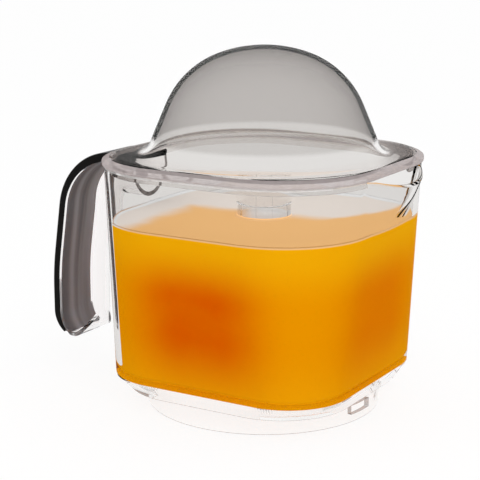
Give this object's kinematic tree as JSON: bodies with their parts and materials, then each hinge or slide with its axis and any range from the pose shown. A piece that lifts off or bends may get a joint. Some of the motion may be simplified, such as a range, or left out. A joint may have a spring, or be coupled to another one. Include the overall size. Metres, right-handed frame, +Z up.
{
  "type": "citrus press jug with dust cover",
  "caption": "Clear rounded-square juice jug of a citrus press, with a pouring spout, hook handle, hollow shaft column, bayonet base collar and a lift-off domed dust cover.",
  "frame": {"origin": "centre of the base collar's lower edge, on the surface that the jug stands on", "axes": "+Z up along the shaft column, +X to the spout, handle on the -X side"},
  "size_m": [0.2047, 0.1438, 0.1794],
  "materials": {
    "clear_plastic": "clear, polished",
    "bush_plastic": "clear, smooth",
    "black_plastic": "satin black",
    "smoked_plastic": "smoke-tinted, polished",
    "juice": "cloudy liquid"
  },
  "bodies": {
    "jug": {"jug_body": "clear_plastic", "base_collar": "clear_plastic", "shaft_column": "clear_plastic", "column_bush": "bush_plastic", "handle_channel": "clear_plastic", "handle_grip": "black_plastic", "juice": "juice"},
    "cover": {"dust_cover": "smoked_plastic"}
  },
  "joints": [
    {"name": "cover_lift", "type": "slide", "parent": "jug", "child": "cover", "axis": [0, 0, 1], "range_m": [0, 0.08]}
  ]
}
